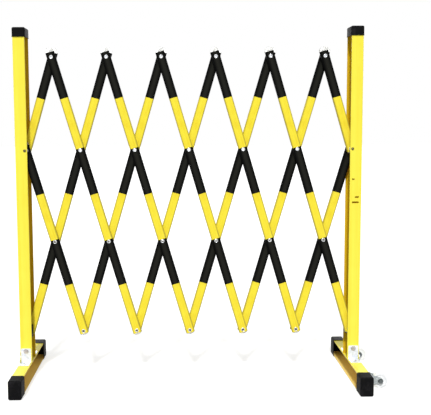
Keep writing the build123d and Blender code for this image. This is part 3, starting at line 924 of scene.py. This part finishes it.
def make_wheels():
    """The castor wheels, with a hub boss and a ring groove in each face."""
    low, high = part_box("front_wheel")
    half = (high.y - low.y) / 2
    radius = (high.z - low.z) / 2
    face = half - WHEEL_SIDE_CLEARANCE / 2
    groove_in = WHEEL_GROOVE - WHEEL_GROOVE_WIDTH / 2
    groove_out = WHEEL_GROOVE + WHEEL_GROOVE_WIDTH / 2
    floor = face - WHEEL_GROOVE_DEPTH
    side = [
        (BOLT_RADIUS + FACE_CLEARANCE, half),
        (FORK_HUB, half),
        (FORK_HUB + WHEEL_CHAMFER, face),
        (groove_in - WHEEL_CHAMFER, face),
        (groove_in, face - WHEEL_CHAMFER),
        (groove_in, floor),
        (groove_out, floor),
        (groove_out, face - WHEEL_CHAMFER),
        (groove_out + WHEEL_CHAMFER, face),
    ] + arc(radius - WHEEL_CROWN, face - WHEEL_CROWN, WHEEL_CROWN, WHEEL_CROWN, 90, 0, 5)
    outline = [(r, -y) for r, y in side] + [(r, y) for r, y in reversed(side)]
    model = turned("wheel_model", wheel_nylon, outline, WHEEL_STEPS)
    for name in ("front_wheel", "rear_wheel"):
        hub = Vector(joints[f"{name}_turn"]["pos_m"])
        piece = join(f"{name}_tyre", set_out(model, [Matrix.Translation(hub)]))
        dress(piece, name, "nylon", name)
    discard(model)


def make_cheek(hub, face, plate_middle, inner):
    """One tapered cheek of a castor bracket, beside the wheel."""
    half_plate = FORK_PLATE_HEIGHT / 2
    corners = [
        (face, inner, plate_middle - half_plate),
        (hub.x + FORK_HUB, inner, hub.z - FORK_HUB),
        (hub.x + FORK_HUB, inner, hub.z + FORK_HUB),
        (face, inner, plate_middle + half_plate),
    ]
    piece = trace("castor_cheek", castor_zinc, corners)
    bpy.ops.mesh.select_all(action="SELECT")
    bpy.ops.mesh.edge_face_add()
    choose(piece, "VERT", lambda corner: corner.co.x > hub.x)
    bpy.ops.mesh.bevel(offset=FORK_HUB * 0.95, segments=8, affect="VERTICES")
    thicken(piece, (0, 1, 0), FORK_THICKNESS)
    return close(piece)


def make_castor_brackets():
    """The castors' brackets: a plate on the foot's side and a cheek each side of the wheel."""
    wheel_low, wheel_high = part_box("front_wheel")
    foot_low, foot_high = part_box("right_foot")
    plate_middle = (foot_low.z + foot_high.z) / 2
    inner = (wheel_high.y - wheel_low.y) / 2 + WHEEL_SIDE_CLEARANCE
    parts = []
    for joint in WHEEL_JOINTS:
        hub = Vector(joints[joint]["pos_m"])
        parts.append(
            make_plate(
                "castor_plate",
                castor_zinc,
                FORK_PLATE_HEIGHT,
                FORK_PLATE_WIDTH,
                FORK_THICKNESS,
                (foot_high.x, hub.y, plate_middle),
                (1, 0, 0),
            )
        )
        for cheek in (hub.y - inner - FORK_THICKNESS, hub.y + inner):
            parts.append(make_cheek(hub, foot_high.x, plate_middle, cheek))
    piece = join("castor_brackets", parts)
    dress(piece, "right_stand", "zinc_steel", "caster_forks")


# Finishes of the nodes that keep their own shape

def paint(node, material):
    """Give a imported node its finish."""
    nodes[node].data.materials.clear()
    nodes[node].data.materials.append(material)


def paint_nodes():
    """Finish the bars, plugs, posts, feet and the slides."""
    for family, bars, lean in (("front", FRONT_BARS, 1), ("rear", REAR_BARS, -1)):
        for number, first in bars:
            node = f"{family}_bar_{number}"
            low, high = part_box(node)
            paint(node, bar_finish(f"{node}_finish", first, lean, (low.y + high.y) / 2))
            paint(f"{family}_plugs_{number}", plug_plastic)
    for name, side in (("left", -1), ("right", 1)):
        paint(f"{name}_post", channel_finish(f"{name}_post", side, 0, POST_INSIDE_SHADE))
        paint(f"{name}_foot", channel_finish(f"{name}_foot", side, math.pi / 2, FOOT_INSIDE_SHADE))
        paint(f"{name}_pivot_spacers", wheel_nylon)
        paint(f"{name}_slide_block", black_moulding)
        paint(f"{name}_slide_pin", rivet_zinc)
        paint(f"{name}_guide_rod", axle_zinc)


# Floor, light and camera

FLOOR_SIZE = 40
FLOOR_GREY = colour(200, 200, 198)
FLOOR_PALE = colour(205, 205, 204)
FLOOR_GLOW = 0.64  # seen by the camera alone
AMBIENT = 0.33
# Lamps by name: strength, then softness, height and turn to the left of the front in degrees
LAMPS = {"key": (2.85, 7, 50, 9), "fill": (0.9, 50, 15, 180)}


def white_for_camera(tree, lit, shown, socket):
    """Show plain white where the background is seen, reflected or looked at through glass."""
    path = tree.nodes.new("ShaderNodeLightPath")
    seen = Wire(tree, path.outputs["Is Camera Ray"])
    for ray in ("Is Glossy Ray", "Is Transmission Ray"):
        seen = seen.maths("MAXIMUM", seen, Wire(tree, path.outputs[ray]))
    mix = seen.node("MixShader", {}, {0: seen, 1: lit, 2: shown}, "Shader")
    tree.links.new(socket, mix.socket)


def make_floor():
    """A pale floor which looks white and keeps the barrier's shadow."""
    bpy.ops.mesh.primitive_plane_add(size=FLOOR_SIZE, location=(0, 0, 0))
    floor = bpy.context.object
    floor.name = "floor"
    material, shader, place = new_finish("floor_finish", Roughness=0.8, Specular_IOR_Level=0.1)
    tree = material.node_tree
    feed(shader.inputs["Base Color"], blend(noise(place, scale=3.0), FLOOR_GREY, FLOOR_PALE))
    surface = Wire(tree, shader.outputs["BSDF"])
    glow = surface.node("Emission", {}, {"Color": (1, 1, 1, 1), "Strength": FLOOR_GLOW}, "Emission")
    both = surface.node("AddShader", {}, {0: surface, 1: glow}, "Shader")
    white_for_camera(tree, surface, both, tree.nodes["Material Output"].inputs["Surface"])
    floor.data.materials.append(material)
    floor.select_set(False)


def make_world():
    """Even pale light from all round, seen as white."""
    world = bpy.data.worlds.new("studio")
    world.use_nodes = True
    tree = world.node_tree
    lit, shown = [
        Wire(tree).node("Background", {}, {"Color": (1, 1, 1, 1), "Strength": strength}, "Background")
        for strength in (AMBIENT, 1.0)
    ]
    white_for_camera(tree, lit, shown, tree.nodes["World Output"].inputs["Surface"])
    bpy.context.scene.world = world


def make_lamps():
    """The main lamp, high in front and slightly to the left, and a soft low one behind."""
    for name, (strength, *angles) in LAMPS.items():
        softness, height, left = map(math.radians, angles)
        light = bpy.data.lights.new(name, "SUN")
        light.energy = strength
        light.angle = softness
        lamp = bpy.data.objects.new(name, light)
        bpy.context.collection.objects.link(lamp)
        level = math.cos(height)
        towards = Vector((math.sin(left) * level, math.cos(left) * level, -math.sin(height)))
        lamp.rotation_mode = "QUATERNION"
        lamp.rotation_quaternion = towards.to_track_quat("-Z", "Y")


# The photograph's frame, in its own pixels
PHOTO_WIDTH = 431
FOCAL_PIXELS = 654.4
SHIFT_RIGHT = -33
SHIFT_DOWN = -34
CAMERA_PLACE = (-0.0764, -2.2304, 0.8897)
CAMERA_LEFT = math.radians(-0.608)
CAMERA_DOWN = math.radians(4.662)
CAMERA_ROLL = math.radians(-0.334)


def make_camera():
    """The camera at the photograph's place."""
    lens = bpy.data.cameras.new("photo_camera")
    lens.lens = FOCAL_PIXELS * lens.sensor_width / PHOTO_WIDTH
    lens.shift_x = -SHIFT_RIGHT / PHOTO_WIDTH
    lens.shift_y = SHIFT_DOWN / PHOTO_WIDTH
    camera = bpy.data.objects.new("photo_camera", lens)
    bpy.context.collection.objects.link(camera)
    turn = (
        Matrix.Rotation(CAMERA_LEFT, 4, "Z")
        @ Matrix.Rotation(math.pi / 2 - CAMERA_DOWN, 4, "X")
        @ Matrix.Rotation(CAMERA_ROLL, 4, "Z")
    )
    camera.matrix_world = Matrix.Translation(CAMERA_PLACE) @ turn
    bpy.context.scene.camera = camera


make_eyelets()
make_stand_bolts()
make_castor_bolts()
make_foot_brackets()
make_caps()
make_wheels()
make_castor_brackets()
paint_nodes()
make_floor()
make_world()
make_lamps()
make_camera()
bpy.context.scene.view_settings.view_transform = "Standard"
